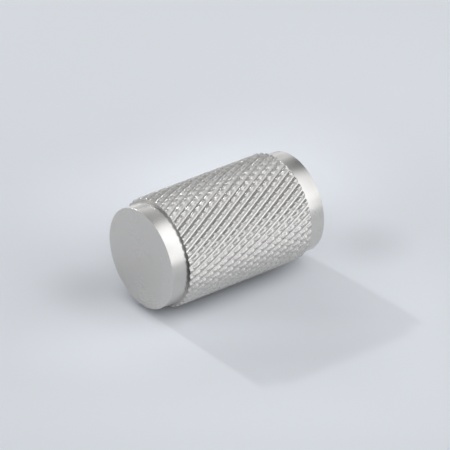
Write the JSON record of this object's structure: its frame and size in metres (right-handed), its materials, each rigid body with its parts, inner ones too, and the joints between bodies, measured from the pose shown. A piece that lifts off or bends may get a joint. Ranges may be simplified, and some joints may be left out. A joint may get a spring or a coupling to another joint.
{
  "type": "knurled knob",
  "caption": "Solid cylindrical pull knob with a diamond-knurled grip between two plain lands and a blind tapped hole in its flat back.",
  "frame": {"origin": "centre of the flat mounting face at the back of the knob", "axes": "+Z along the knob's axis, from the mounting face out to the front face; +X and +Y across it"},
  "size_m": [0.0182, 0.0182, 0.03],
  "materials": {
    "metal": "satin turned metal with fine lathe lines on the faces and lands, and bright cut knurl"
  },
  "bodies": {
    "root": {"knob": "metal"}
  },
  "joints": []
}
